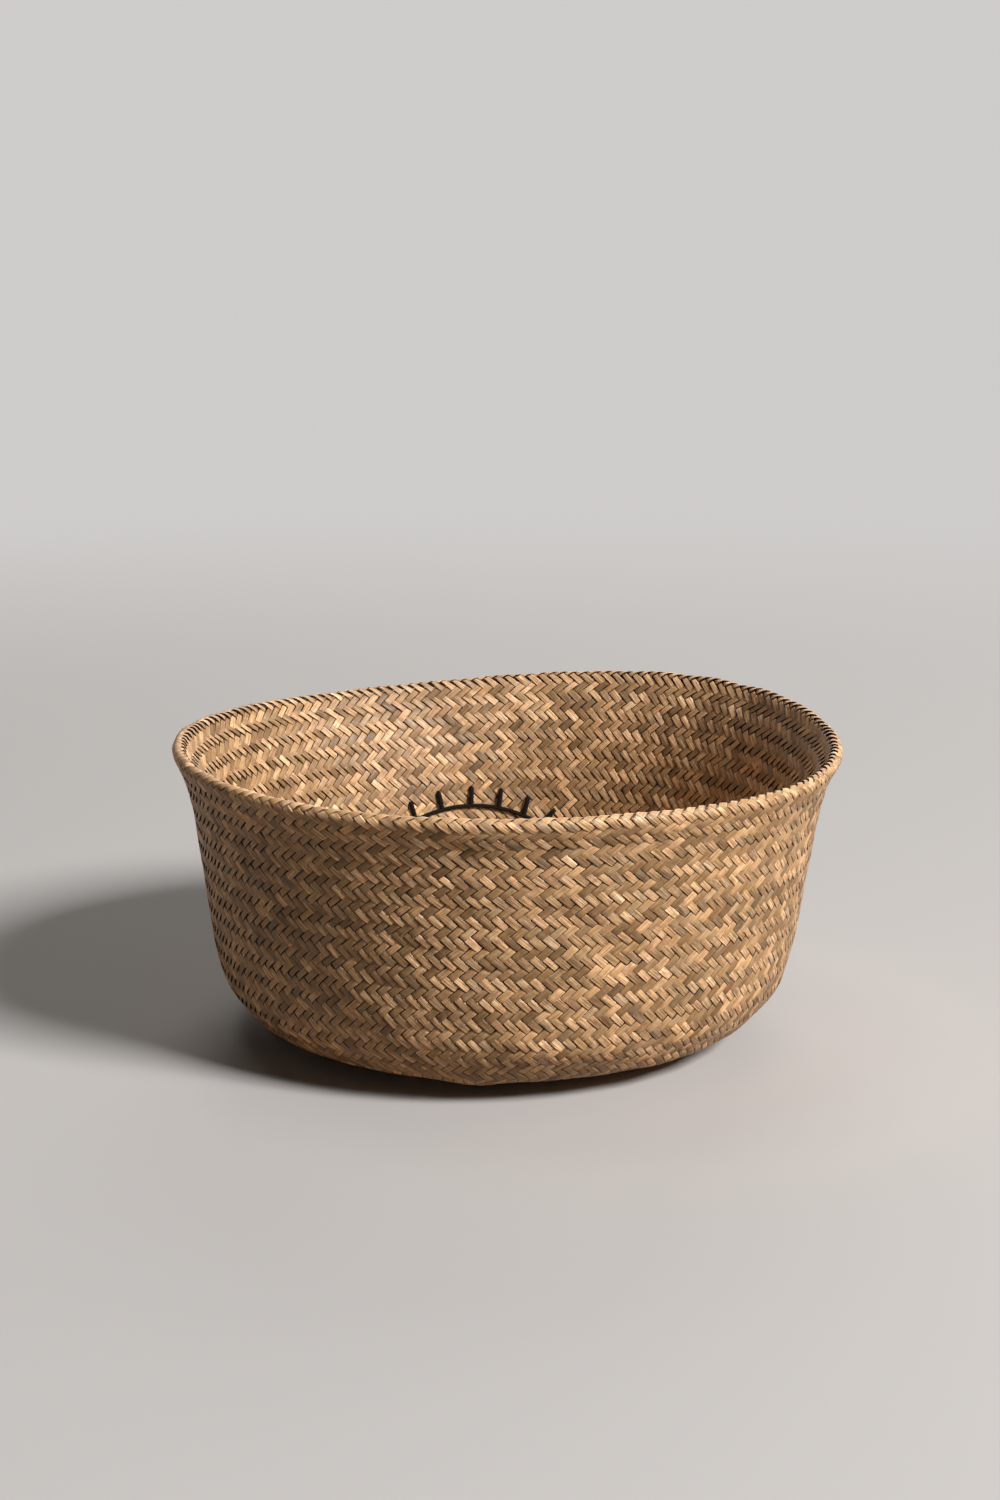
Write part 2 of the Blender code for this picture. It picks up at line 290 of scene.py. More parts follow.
def skin(distance, turn, offset):
    """Points at a distance along the meridian and a turn, that far out from the fabric's middle."""
    radius = np.interp(distance, DISTANCE, LINE[:, 0])
    height = np.interp(distance, DISTANCE, LINE[:, 1])
    out_radius = np.interp(distance, DISTANCE, NORMAL[:, 0])
    out_height = np.interp(distance, DISTANCE, NORMAL[:, 1])
    size = np.hypot(out_radius, out_height)
    return shaped(radius + out_radius / size * offset, turn, height + out_height / size * offset)


# Rings of crossings: level 0 is the edge of the mat, and each level above it is one more ring

def level_table():
    levels = [-float(MAT_LEVELS), 0.0]
    distances = [0.0, MAT_REACH]
    step = 0.1
    while distances[-1] < DISTANCE[-1]:
        pitch = 2 * math.pi * np.interp(distances[-1], DISTANCE, LINE[:, 0]) / STRIPS
        angle = math.asin(min(STRIP_PITCH / pitch, 0.94))
        distances.append(distances[-1] + pitch / 2 * math.tan(angle) * step)
        levels.append(levels[-1] + step)
    return np.array(levels), np.array(distances)


LEVELS, LEVEL_DISTANCES = level_table()


def distance_of(level):
    return np.interp(level, LEVELS, LEVEL_DISTANCES)


def level_of(distance):
    return float(np.interp(distance, LEVEL_DISTANCES, LEVELS))


def slipped(distance, turn):
    """Distances of the rings' places near the rim, which slip towards the outside at one side."""
    share = ((1 + np.cos(turn - RING_SLIP_TURN)) / 2) ** 2
    near_rim = np.exp(-((distance - RIM_MIDDLE) / RING_SLIP_REACH) ** 2)
    return distance - RING_SLIP * share * near_rim


def turn_of(column):
    return BASE_CORNER_TURN + 2 * math.pi * column / STRIPS


def on_top(level, sign):
    """1 where a rising (1) or falling (-1) strip lies outside at that ring, else -1."""
    rising_out = np.isin(np.mod(np.round(level - BAND_SHIFT).astype(int), BAND), (0, 1))
    return np.where(rising_out, 1, -1) * sign


def uneven(places):
    """Sample places moved so that each strip stays flat for longer and then dives steeply."""
    before = np.floor(places + 1e-6)
    share = places - before
    late = np.where(share < 0.5, DIVE_START_share, 1 - DIVE_START_share)
    return before + np.where(share < 0.1, 0.0, late)


def lift_at(places, states):
    """Height of a strip between its crossings. places count crossings, states say over or under."""
    before = np.floor(places + 1e-6).astype(int)
    share = places - before
    first, second = states(before), states(before + 1)
    same = first == second
    lift = np.where(share < 0.1, CROSSING_LIFT_share, np.where(same, 1.0, DIVE_LIFT_share))
    return np.where(share < 0.5, first, second) * lift


# Small unevenness of the handwork

rng = np.random.default_rng(20)
BUMPS = [
    (rng.integers(5, 34), rng.uniform(60.0, 240.0), rng.uniform(0, 2 * math.pi), rng.uniform(0.5, 1.0))
    for _ in range(14)
]
BUMP_HEIGHT = 0.00010


def bumps(distance, turn):
    total = np.zeros(np.broadcast(distance, turn).shape)
    for count, wave, phase, weight in BUMPS:
        total += weight * np.sin(count * turn + wave * distance + phase)
    fade = np.clip((distance - BASE_RADIUS) / 0.05, 0.0, 1.0)
    return BUMP_HEIGHT * total * fade


class Strip:
    """One strip's own width, drift, roll and colour."""

    def __init__(self, kind, places, lift):
        self.kind = kind
        ends = np.clip((CROSSING_LIFT_share - lift) / CROSSING_LIFT_share, 0.0, 1.0)
        ripple = rng.uniform(-0.018, 0.018, len(places))
        self.half_width = kind.half_width * rng.uniform(0.970, 1.015) * (1 - (1 - kind.waist) * ends + ripple)
        self.side = np.ones(len(places))
        self.tilt = np.ones(len(places))
        drift = rng.uniform(0.012, 0.034)
        drift_wave = rng.uniform(9.0, 23.0)
        drift_phase = rng.uniform(0, 2 * math.pi)
        self.drift = drift * np.sin(places * 2 * math.pi / drift_wave + drift_phase)
        roll_wave = rng.uniform(5.0, 17.0)
        roll_phase = rng.uniform(0, 2 * math.pi)
        self.roll = rng.uniform(0.02, 0.13) * np.sin(places * 2 * math.pi / roll_wave + roll_phase)
        self.thickness = kind.thickness * rng.uniform(0.90, 1.06)
        self.hue = rng.random()
        self.seed = rng.uniform(0.0, 400.0)


def section(strip):
    """Places across the strip of even width, lateral places in crossings, and heights in metres."""
    across = strip.kind.across[None, :] * strip.half_width[:, None]
    even = strip.kind.across[None, :] * strip.kind.half_width * strip.side[:, None]
    up = strip.kind.up[None, :] * strip.thickness
    up = up + strip.roll[:, None] * across * strip.kind.thickness
    up = up + (strip.side * strip.tilt)[:, None] * strip.kind.slope * strip.kind.across[None, :]
    return even, across + strip.drift[:, None], up


# Meshes of many strips

def strip_mesh(name, kind, strips, step_length):
    """strips hold points (samples, sides, 3), across (samples, sides), along, lift (samples), hue and seed."""
    sides = len(kind.up)
    columns = kind.columns
    margin = 0.0008
    lengths = [(len(strip["points"]) - 1) * step_length + margin for strip in strips]
    row_height = columns[-1] + margin
    width = max(math.sqrt(sum(lengths) * row_height) * 1.01, max(lengths) + margin)
    points, place, lift, tone, hue = [], [], [], [], []
    quads, caps, quad_uvs, cap_uvs = [], [], [], []
    start, x, y = 0, margin, margin
    for strip, length in zip(strips, lengths):
        if x + length > width:
            x, y = margin, y + row_height
        samples = len(strip["points"])
        points.append(strip["points"].reshape(-1, 3))
        along = np.repeat(strip["along"], sides)
        # These attributes steer the painted shade: across is signed so that each strip's tucked edge lies on the side
        # the material darkens, and the undersides get the lift turned over, times the strip's shadow where it lies on
        # top, so that the painted dive shade darkens them.
        across = strip["across"].reshape(-1) * STRIP_PITCH * (-1 if kind.slope > 0 else 1)
        place.append(np.column_stack((across * 1000, along * 1000, np.full(len(along), strip["seed"]))))
        beneath = np.where(strip["lift"] > 0, -strip["lift"] * strip.get("shadow", 1.0), -strip["lift"])
        lift.append(np.where(kind.facing > 0, strip["lift"][:, None], beneath[:, None]).reshape(-1))
        tone.append(np.repeat(strip["tone"], sides))
        hue.append(np.full(len(along), strip["hue"]))
        index = start + np.arange(samples * sides).reshape(samples, sides)
        after = np.roll(index, -1, axis=1)
        quads.append(np.stack((index[:-1], after[:-1], after[1:], index[1:]), axis=-1).reshape(-1, 4))
        caps.append(index[0][::-1])
        caps.append(index[-1])
        left = x + np.arange(samples - 1)[:, None] * step_length + 0 * columns[None, :-1]
        low = y + 0 * left + columns[None, :-1]
        high = y + 0 * left + columns[None, 1:]
        right = left + step_length
        quad_uvs.append(np.stack((
            np.stack((left, low), -1), np.stack((left, high), -1),
            np.stack((right, high), -1), np.stack((right, low), -1),
        ), axis=2).reshape(-1, 2))
        middle = y + columns[3] / 2
        cap_uvs.append(np.tile((x, middle), (sides, 1)))
        cap_uvs.append(np.tile((x + length - margin, middle), (sides, 1)))
        start += samples * sides
        x += length + margin
    height = y + row_height
    points = np.concatenate(points)
    quads = np.concatenate(quads)
    caps = np.array(caps)
    corners = np.concatenate((quads.reshape(-1), caps.reshape(-1)))
    totals = np.concatenate((np.full(len(quads), 4), np.full(len(caps), sides)))
    starts = np.concatenate(([0], np.cumsum(totals)[:-1]))
    mesh = bpy.data.meshes.new(name)
    mesh.vertices.add(len(points))
    mesh.vertices.foreach_set("co", points.astype(np.float32).reshape(-1))
    mesh.loops.add(len(corners))
    mesh.loops.foreach_set("vertex_index", corners.astype(np.int32))
    mesh.polygons.add(len(totals))
    mesh.polygons.foreach_set("loop_start", starts.astype(np.int32))
    mesh.update(calc_edges=True)
    mesh.polygons.foreach_set("use_smooth", (totals == 4))
    uvs = np.concatenate((np.concatenate(quad_uvs), np.concatenate(cap_uvs))) / max(width, height)
    layer = mesh.uv_layers.new(name="OFBake")
    layer.data.foreach_set("uv", uvs.astype(np.float32).reshape(-1))
    mesh.attributes.new("strip_place", "FLOAT_VECTOR", "POINT").data.foreach_set(
        "vector", np.concatenate(place).astype(np.float32).reshape(-1))
    mesh.attributes.new("strip_lift", "FLOAT", "POINT").data.foreach_set(
        "value", np.concatenate(lift).astype(np.float32))
    mesh.attributes.new("strip_tone", "FLOAT", "POINT").data.foreach_set(
        "value", np.concatenate(tone).astype(np.float32))
    mesh.attributes.new("strip_hue", "FLOAT", "POINT").data.foreach_set(
        "value", np.concatenate(hue).astype(np.float32))
    mesh.validate()
    return mesh


def add_piece(name, mesh, material, body, slot, *replaced):
    mesh.materials.append(material)
    piece = bpy.data.objects.new(name, mesh)
    bpy.context.scene.collection.objects.link(piece)
    if body == "collar":
        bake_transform(piece)
    else:
        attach(piece, body)
    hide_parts(*replaced)
    return piece


# Strips round the wall, the rim and the collar

WALL_STRIPS = {}
TONES = rng.random((2, STRIPS, 3 * MAT_LEVELS))
WANDER = rng.random((2, STRIPS, 3)) - np.array((0.5, 0.0, 0.0))


def wall_looks(sign, number):
    """The hue and seed of a strip, which stay the same from one stretch to the next."""
    if (sign, number) not in WALL_STRIPS:
        WALL_STRIPS[(sign, number)] = (rng.random(), rng.uniform(0.0, 400.0))
    return WALL_STRIPS[(sign, number)]


def sideways(sign, number, levels):
    """How far, in strips, one strip wanders from its place at each ring."""
    shift, wave, phase = WANDER[0 if sign > 0 else 1, number % STRIPS]
    return 0.24 * shift + 0.10 * np.sin(levels * 2 * math.pi / (9.0 + 10.0 * wave) + 2 * math.pi * phase)


def wall_strips(sign, first, last):
    kind = RISING if sign > 0 else FALLING
    count = int(round((last - first) * STEPS))
    levels = uneven(first + np.arange(count + 1) / STEPS)
    lift = lift_at(levels, lambda level: on_top(level, sign))
    gap_middle = (RIM_MIDDLE + 2 * MARKS["rim_end"]) / 3
    over_rim = levels > cut_level(level_of(RIM_MIDDLE), sign) - 1 / STEPS
    middle = BAND_SHIFT + (0.5 if sign > 0 else 2.5)
    floats = np.round((levels - middle) / BAND).astype(int) + MAT_LEVELS
    strips = []
    for number in range(STRIPS):
        strip = Strip(kind, levels, lift)
        turn = turn_of(number + 0.5 + sign * levels / 2)
        leftness = np.cos(turn - LOOSENESS_TURN)
        inner_loose = INNER_LOOSENESS_share * np.maximum(leftness, 0.0)
        strip.half_width = strip.half_width * (1 - np.where(over_rim, inner_loose, LOOSENESS_share * leftness))
        strip.tilt = np.where(over_rim, 1.0, 1 - FLATNESS_share * np.maximum(np.cos(turn), 0.0))
        centre = slipped(distance_of(levels), turn)
        near_fold = np.exp(-((centre - RIM_MIDDLE) / FOLD_REACH) ** 2)
        near_gap = np.exp(-((centre - gap_middle) / RIM_GAP_REACH) ** 2)
        before, own, after = [sideways(sign, number + step, levels) for step in (-1, 0, 1)]
        strip.half_width = strip.half_width * (1 - RIM_GAP_share * near_gap) * (1 + (after - before) / 2)
        strip.drift = (before + 2 * own + after) / 4
        strip.side = np.where(over_rim, -1.0, 1.0)
        across, lateral, up = section(strip)
        level = levels[:, None] - sign * lateral
        column = number + 0.5 + (sign * levels[:, None] + lateral) / 2
        turn = turn_of(column)
        distance = slipped(distance_of(level), turn)
        offset = lift[:, None] * kind.rise + up + bumps(distance, turn)
        tones = TONES[(0 if sign > 0 else 1), number, floats]
        hue, seed = wall_looks(sign, number)
        strips.append({
            "points": skin(distance, turn, offset),
            # Less painted shade near the fold: the across places are drawn in so the edge shade narrows, and the lift
            # is raised so the dive shade lightens; outside, the falling strips' undersides take only part of the
            # painted shade.
            "across": across * (1 - FOLD_EDGE_SHADE_CUT_share * near_fold * (1 - near_gap))[:, None],
            "along": levels * STRIP_PITCH,
            "lift": lift + FOLD_SHADE_LIFT_share * near_fold * (1 - near_gap),
            "shadow": np.where(over_rim, 1.0, 1.0 if sign > 0 else FALLING_SHADOW_share),
            "tone": tones + (1 - tones) * FOLD_PALENESS_share * near_fold,
            "hue": hue,
            "seed": seed,
        })
    return strips


# The square mat under the base, and its strips' first rise up the wall

def mat_places(x, y, sector):
    """Distances and turns of mat places. Beyond the mat's edge they lie on the wall, past that sector."""
    reach = np.maximum(np.abs(x), np.abs(y))
    safe = np.maximum(reach, 1e-9)
    side = np.select([(-y >= reach - 1e-12), (x >= reach - 1e-12), (y >= reach - 1e-12)], [0, 1, 2], 3)
    tangent = np.select([side == 0, side == 1, side == 2], [x, y, -x], -y)
    round_turn = BASE_CORNER_TURN + math.pi / 2 * (side + (tangent / safe + 1) / 2)
    round_distance = reach * 2 / MAT_LEVELS * MAT_REACH
    flat_turn = BASE_CORNER_TURN + math.pi / 4 + np.arctan2(x, -y)
    flat_distance = np.hypot(x, y) * 2 * MAT_PITCH
    share = np.clip((reach * 2 / MAT_LEVELS - 0.2) / 0.8, 0.0, 1.0)
    share = share * share * (3 - 2 * share)
    plane_x = (1 - share) * flat_distance * np.cos(flat_turn) + share * round_distance * np.cos(round_turn)
    plane_y = (1 - share) * flat_distance * np.sin(flat_turn) + share * round_distance * np.sin(round_turn)
    distance = np.hypot(plane_x, plane_y)
    turn = np.arctan2(plane_y, plane_x)
    side_x = np.select([sector == 0, sector == 1, sector == 2], [x, y, -x], -y)
    side_y = np.select([sector == 0, sector == 1, sector == 2], [y, -x, -y], x)
    level = -2 * side_y - MAT_LEVELS
    column = MAT_LEVELS * sector + side_x + MAT_LEVELS / 2
    past = level > 0
    return np.where(past, distance_of(level), distance), np.where(past, turn_of(column), turn)


def mat_strips(family, rising_end, falling_end):
    """One family of the mat's strips, each as far as the ring where its next stretch begins."""
    strips = []
    for number in range(2 * MAT_LEVELS):
        middle = number + 0.5 - MAT_LEVELS
        if family == "a":
            far_sector, near_sector = (0, 3) if middle < 0 else (1, 2)
        else:
            far_sector, near_sector = (3, 2) if middle < 0 else (0, 1)
        rises = {0: 1, 1: -1, 2: 1, 3: -1} if family == "a" else {0: -1, 1: 1, 2: -1, 3: 1}
        far_end = (rising_end if rises[far_sector] > 0 else falling_end) + MAT_LEVELS - abs(middle)
        near_end = (rising_end if rises[near_sector] > 0 else falling_end) + MAT_LEVELS - abs(middle)
        count = int(round((far_end + near_end) * STEPS))
        places = uneven(-near_end + np.arange(count + 1) / STEPS - 0.5) + 0.5

        def states(crossing):
            place = crossing + 0.5
            level = np.abs(place) + abs(middle) - MAT_LEVELS
            sign = np.where(place > 0, rises[far_sector], rises[near_sector])
            return on_top(level, sign)

        lift = lift_at(places - 0.5, states)
        strip = Strip(MAT, places, lift)
        across, lateral, up = section(strip)
        place = places[:, None]
        if family == "a":
            x = (middle + place + lateral) / 2
            y = (middle - place + lateral) / 2
        else:
            x = (middle - place + lateral) / 2
            y = (-middle - place - lateral) / 2
        sector = np.where(place + 0 * lateral > 0, far_sector, near_sector)
        distance, turn = mat_places(x, y, sector)
        offset = lift[:, None] * MAT.rise + up + bumps(distance, turn)
        strips.append({
            "points": skin(distance, turn, offset),
            "across": across + 0 * x,
            "along": places * STRIP_PITCH,
            "lift": lift,
            "tone": rng.random(MAT_LEVELS)[np.floor((places + near_end) / BAND).astype(int)],
            "hue": strip.hue,
            "seed": strip.seed,
        })
    return strips


# Hem

def hem_strips():
    """Strip ends turned over the edge of the mouth, side by side round the bead."""
    strips = []
    angles = np.linspace(-math.pi, math.pi, 15)
    places = angles / math.pi
    for number in range(STRIPS):
        strip = Strip(RISING, places, np.ones(len(places)))
        across, lateral, up = section(strip)
        half_width = HEM_WIDTH / 2 - HEM_STRIP / 2
        half_depth = HEM_DEPTH / 2 - HEM_STRIP / 2
        out = up * HEM_STRIP / RISING.thickness
        angle = angles[:, None] + 0 * across
        radius = HEM_RADIUS - FABRIC / 2 - (half_width + out) * np.cos(angle)
        height = HEM_HEIGHT + HEM_DEPTH / 2 + (half_depth + out) * np.sin(angle)
        turn = turn_of(number + HEM_SLANT * angle / (2 * math.pi) + lateral * 0.98)
        strips.append({
            "points": shaped(radius, turn, height),
            "across": across + 0 * angle,
            "along": places * HEM_DEPTH,
            "lift": np.ones(len(places)),
            "tone": np.full(len(places), rng.random()),
            "hue": strip.hue,
            "seed": strip.seed,
        })
    return strips


def hem_core_mesh():
    """The bead's inside, which shows between the turned strips, darkened with painted shade."""
    around, along = 12, STRIPS
    turn = np.linspace(0, 2 * math.pi, along, endpoint=False)[:, None]
    angle = np.linspace(0, 2 * math.pi, around, endpoint=False)[None, :]
    radius = HEM_RADIUS - FABRIC / 2 + (HEM_WIDTH / 2 - HEM_STRIP) * np.cos(angle) + 0 * turn
    height = HEM_HEIGHT + HEM_DEPTH / 2 + (HEM_DEPTH / 2 - HEM_STRIP) * np.sin(angle) + 0 * turn
    points = shaped(radius, turn + 0 * angle, height).reshape(-1, 3)
    index = np.arange(around * along).reshape(along, around)
    after, beside = np.roll(index, -1, axis=0), np.roll(index, -1, axis=1)
    both = np.roll(after, -1, axis=1)
    faces = np.stack((index, after, both, beside), axis=-1).reshape(-1, 4)
    mesh = bpy.data.meshes.new("hem_core")
    mesh.from_pydata(points.tolist(), [], faces.tolist())
    mesh.shade_smooth()
    return mesh


# Yarn

def collar_distance(height):
    start = MARKS["rim_end"]
    inside = DISTANCE >= start
    return np.interp(-np.asarray(height), -LINE[inside, 1], DISTANCE[inside])


def yarn_mesh(name, heights, turns, thickness, sink):
    """Three plies twisted round a line over the inner wall, whose ends go into the plaiting."""
    heights, turns = np.array(heights), np.array(turns)
    offset = FABRIC / 2 + thickness * 0.40 - sink
    line = skin(collar_distance(heights), turns, offset)
    spans = np.linalg.norm(np.diff(line, axis=0), axis=1)
    reach = np.concatenate(([0.0], np.cumsum(spans)))
    samples = max(int(reach[-1] / 0.00035), 12)
    places = np.linspace(0.0, reach[-1], samples)
    line = np.column_stack([np.interp(places, reach, line[:, axis]) for axis in range(3)])
    for _ in range(2):
        line[1:-1] = (line[:-2] + 2 * line[1:-1] + line[2:]) / 4
    tangent = np.gradient(line, axis=0)
    tangent /= np.linalg.norm(tangent, axis=1)[:, None]
    inward = -line * np.array((1.0, 1.0, 0.0))
    across = np.cross(tangent, inward)
    across /= np.linalg.norm(across, axis=1)[:, None]
    up = np.cross(across, tangent)
    ply = thickness / 2 * 0.82
    centre = thickness / 2 * 0.46
    twist = 2 * math.pi * places / (thickness * 2.1)
    sides = 8
    points, faces, along = [], [], []
    for number in range(3):
        phase = twist + 2 * math.pi * number / 3
        middle = line + centre * (np.cos(phase)[:, None] * across + np.sin(phase)[:, None] * up)
        direction = np.gradient(middle, axis=0)
        direction /= np.linalg.norm(direction, axis=1)[:, None]
        first = np.cross(direction, up)
        first /= np.linalg.norm(first, axis=1)[:, None]
        second = np.cross(first, direction)
        turn = np.linspace(0, 2 * math.pi, sides, endpoint=False)
        ring = middle[:, None, :] + ply * (
            np.cos(turn)[None, :, None] * first[:, None, :] + np.sin(turn)[None, :, None] * second[:, None, :]
        )
        start = number * samples * sides
        index = start + np.arange(samples * sides).reshape(samples, sides)
        after = np.roll(index, -1, axis=1)
        faces += np.stack((index[:-1], index[1:], after[1:], after[:-1]), axis=-1).reshape(-1, 4).tolist()
        faces.append(index[0].tolist())
        faces.append(index[-1][::-1].tolist())
        points.append(ring.reshape(-1, 3))
        along.append(np.column_stack((
            np.tile(turn, samples) * 0.4, np.repeat(places, sides) * 1000, np.full(samples * sides, number * 7.0),
        )))
    mesh = bpy.data.meshes.new(name)
    mesh.from_pydata(np.concatenate(points).tolist(), [], faces)
    mesh.shade_smooth()
    mesh.attributes.new("strip_place", "FLOAT_VECTOR", "POINT").data.foreach_set(
        "vector", np.concatenate(along).astype(np.float32).reshape(-1))
    return mesh


def lid_place(offset_turn):
    along = HEM_RADIUS * offset_turn
    return EYE_TURN - offset_turn, EYE_TOP_HEIGHT - along**2 / (2 * EYE_SAG_RADIUS)


# Materials

def node(tree, kind, inputs=(), **settings):
    made = tree.nodes.new(kind)
    for name, value in settings.items():
        setattr(made, name, value)
    for name, value in inputs:
        if isinstance(value, bpy.types.NodeSocket):
            tree.links.new(value, made.inputs[name])
        else:
            made.inputs[name].default_value = value
    return made


def attribute(tree, name):
    return node(tree, "ShaderNodeAttribute", attribute_name=name)


def maths(tree, operation, first, second=0.0, third=0.0):
    made = node(tree, "ShaderNodeMath", ((0, first), (1, second), (2, third)), operation=operation)
    return made.outputs[0]


def ranged(tree, value, low, high, to_low, to_high, smooth=False):
    made = node(
        tree,
        "ShaderNodeMapRange",
        (("Value", value), ("From Min", low), ("From Max", high), ("To Min", to_low), ("To Max", to_high)),
    )
    if smooth:
        made.interpolation_type = "SMOOTHSTEP"
    return made.outputs[0]


def ramp(tree, value, stops):
    made = node(tree, "ShaderNodeValToRGB", (("Fac", value),))
    elements = made.color_ramp.elements
    while len(elements) < len(stops):
        elements.new(0.5)
    for element, (place, colour) in zip(elements, stops):
        element.position = place
        element.color = (*colour, 1.0)
    return made.outputs["Color"]


def stretched_noise(tree, place, scale, detail, roughness=0.55):
    """Noise drawn out along the strip: scale is how often it changes across, along and between strips."""
    scaled = node(tree, "ShaderNodeVectorMath", ((0, place), (1, scale)), operation="MULTIPLY")
    made = node(
        tree,
        "ShaderNodeTexNoise",
        (("Vector", scaled.outputs[0]), ("Scale", 1.0), ("Detail", detail), ("Roughness", roughness)),
    )
    return made.outputs["Fac"]


def mixed(tree, kind, share, first, second):
    made = node(tree, "ShaderNodeMix", data_type="RGBA", blend_type=kind)
    for socket, value in ((made.inputs[0], share), (made.inputs[6], first), (made.inputs[7], second)):
        if isinstance(value, bpy.types.NodeSocket):
            tree.links.new(value, socket)
        elif hasattr(value, "__len__"):
            socket.default_value = (*value, 1.0)
        else:
            socket.default_value = value
    return made.outputs[2]


HUES = (
    (0.00, (0.410, 0.275, 0.155)),
    (0.18, (0.480, 0.300, 0.152)),
    (0.40, (0.545, 0.335, 0.165)),
    (0.64, (0.600, 0.388, 0.210)),
    (0.84, (0.550, 0.342, 0.180)),
    (0.95, (0.500, 0.292, 0.150)),
    (1.00, (0.640, 0.440, 0.250)),
)
SMOOTH_TONES = (
    (0.00, (0.49, 0.45, 0.40)),
    (0.18, (0.68, 0.66, 0.62)),
    (0.50, (0.90, 0.90, 0.90)),
    (0.72, (1.14, 1.14, 1.16)),
    (0.86, (1.36, 1.38, 1.44)),
    (1.00, (1.60, 1.65, 1.76)),
)
FIBROUS_TONES = (
    (0.00, (0.47, 0.43, 0.38)),
    (0.14, (0.66, 0.64, 0.61)),
    (0.45, (0.91, 0.91, 0.91)),
    (0.78, (1.14, 1.14, 1.16)),
    (0.93, (1.31, 1.34, 1.41)),
    (1.00, (1.50, 1.56, 1.68)),
)


def straw_material(name, fibrous):
    """fibrous is 1 for the rough, lighter strips with fine lengthwise lines, 0 for the smooth ones."""
    material = bpy.data.materials.new(name)
    material.use_nodes = True
    tree = material.node_tree
    shader = tree.nodes["Principled BSDF"]
    place = attribute(tree, "strip_place").outputs["Vector"]
    lift = attribute(tree, "strip_lift").outputs["Fac"]
    hue = attribute(tree, "strip_hue").outputs["Fac"]
    tone = attribute(tree, "strip_tone").outputs["Fac"]
    slow = stretched_noise(tree, place, (0.05, 0.09, 1.7), 2.0)
    hue = maths(tree, "ADD", hue, ranged(tree, slow, 0.3, 0.7, -0.25, 0.25))
    colour = ramp(tree, hue, HUES)
    colour = mixed(tree, "MULTIPLY", 1.0, colour, ramp(tree, tone, FIBROUS_TONES if fibrous else SMOOTH_TONES))
    patches = stretched_noise(tree, place, (0.22, 0.20, 3.1), 2.5)
    colour = mixed(tree, "MULTIPLY", 1.0, colour, ramp(tree, patches, (
        (0.28, (0.80, 0.76, 0.70)), (0.50, (0.98, 0.97, 0.96)), (0.74, (1.14, 1.14, 1.14)))))
    grain = stretched_noise(tree, place, (0.98, 0.06, 5.3), 3.0, 0.62 + 0.06 * fibrous)
    low, high = 0.74 - 0.25 * fibrous, 1.14 + 0.34 * fibrous
    colour = mixed(tree, "MULTIPLY", 1.0, colour, ramp(tree, grain, (
        (0.30, (low, low * 0.96, low * 0.90)), (0.48, (0.97, 0.96, 0.95)), (0.68, (high, high, high * 1.02)))))
    colour = mixed(tree, "MULTIPLY", 1.0, colour, (1.04, 1.02, 1.02) if fibrous else (0.98, 0.94, 0.88))
    fine = stretched_noise(tree, place, (2.3, 0.08, 7.1), 2.0, 0.6)
    low, high = 0.72 - 0.12 * fibrous, 1.22 + 0.14 * fibrous
    colour = mixed(tree, "MULTIPLY", 1.0, colour, ramp(tree, fine, (
        (0.36, (low, low * 0.96, low * 0.90)), (0.50, (0.97, 0.97, 0.96)), (0.63, (high, high, high * 1.02)))))
    # Painted shade: each strip is darkened at its tucked edge (deeper where it is about to dive), also at its free
    # edge, and almost to black where it dives under the crossing strips, in place of the shade the neighbouring strips
    # cast; a noise wobbles where the edge shade begins.
    across = node(tree, "ShaderNodeSeparateXYZ", ((0, place),)).outputs["X"]
    shade_edge_wobble = stretched_noise(tree, place, (0.10, 0.35, 2.3), 1.0)
    across = maths(tree, "ADD", across, ranged(tree, shade_edge_wobble, 0.3, 0.7, -0.16, 0.16))
    edge = ranged(tree, lift, 0.88, 1.0, 0.05, 0.20)
    tucked_edge_shade = ranged(tree, across, 1.97, 2.11, 1.0, edge, smooth=True)
    free_edge_shade = ranged(tree, across, -2.22, -2.05, 0.24, 1.0, smooth=True)
    dive_shade = ranged(tree, lift, -0.80, 0.20, 0.04, 1.0, smooth=True)
    painted_shade = maths(tree, "MULTIPLY", maths(tree, "MULTIPLY", tucked_edge_shade, free_edge_shade), dive_shade)
    shade = node(tree, "ShaderNodeCombineXYZ", (("X", painted_shade), ("Y", painted_shade), ("Z", painted_shade)))
    colour = mixed(tree, "MULTIPLY", 1.0, colour, shade.outputs[0])
    tree.links.new(colour, shader.inputs["Base Color"])
    tree.links.new(ranged(tree, grain, 0.3, 0.7, 0.60, 0.42), shader.inputs["Roughness"])
    shader.inputs["Specular IOR Level"].default_value = 0.42
    relief = maths(tree, "ADD", maths(tree, "MULTIPLY", grain, 0.7), maths(tree, "MULTIPLY", fine, 0.3))
    bump = node(tree, "ShaderNodeBump", (("Strength", 0.4 + 0.3 * fibrous), ("Distance", 0.00022), ("Height", relief)))
    tree.links.new(bump.outputs[0], shader.inputs["Normal"])
    return material


def yarn_material():
    material = bpy.data.materials.new("yarn")
    material.use_nodes = True
    tree = material.node_tree
    shader = tree.nodes["Principled BSDF"]
    place = attribute(tree, "strip_place").outputs["Vector"]
    fibres = stretched_noise(tree, place, (6.0, 1.6, 3.0), 3.0, 0.6)
    colour = ramp(tree, fibres, ((0.3, (0.004, 0.0035, 0.003)), (0.7, (0.020, 0.018, 0.016))))
    tree.links.new(colour, shader.inputs["Base Color"])
    shader.inputs["Roughness"].default_value = 1.0
    shader.inputs["Specular IOR Level"].default_value = 0.08
    shader.inputs["Sheen Weight"].default_value = 0.04
    shader.inputs["Sheen Roughness"].default_value = 0.6
    bump = node(tree, "ShaderNodeBump", (("Strength", 0.9), ("Distance", 0.0004), ("Height", fibres)))
    tree.links.new(bump.outputs[0], shader.inputs["Normal"])
    return material


# The object

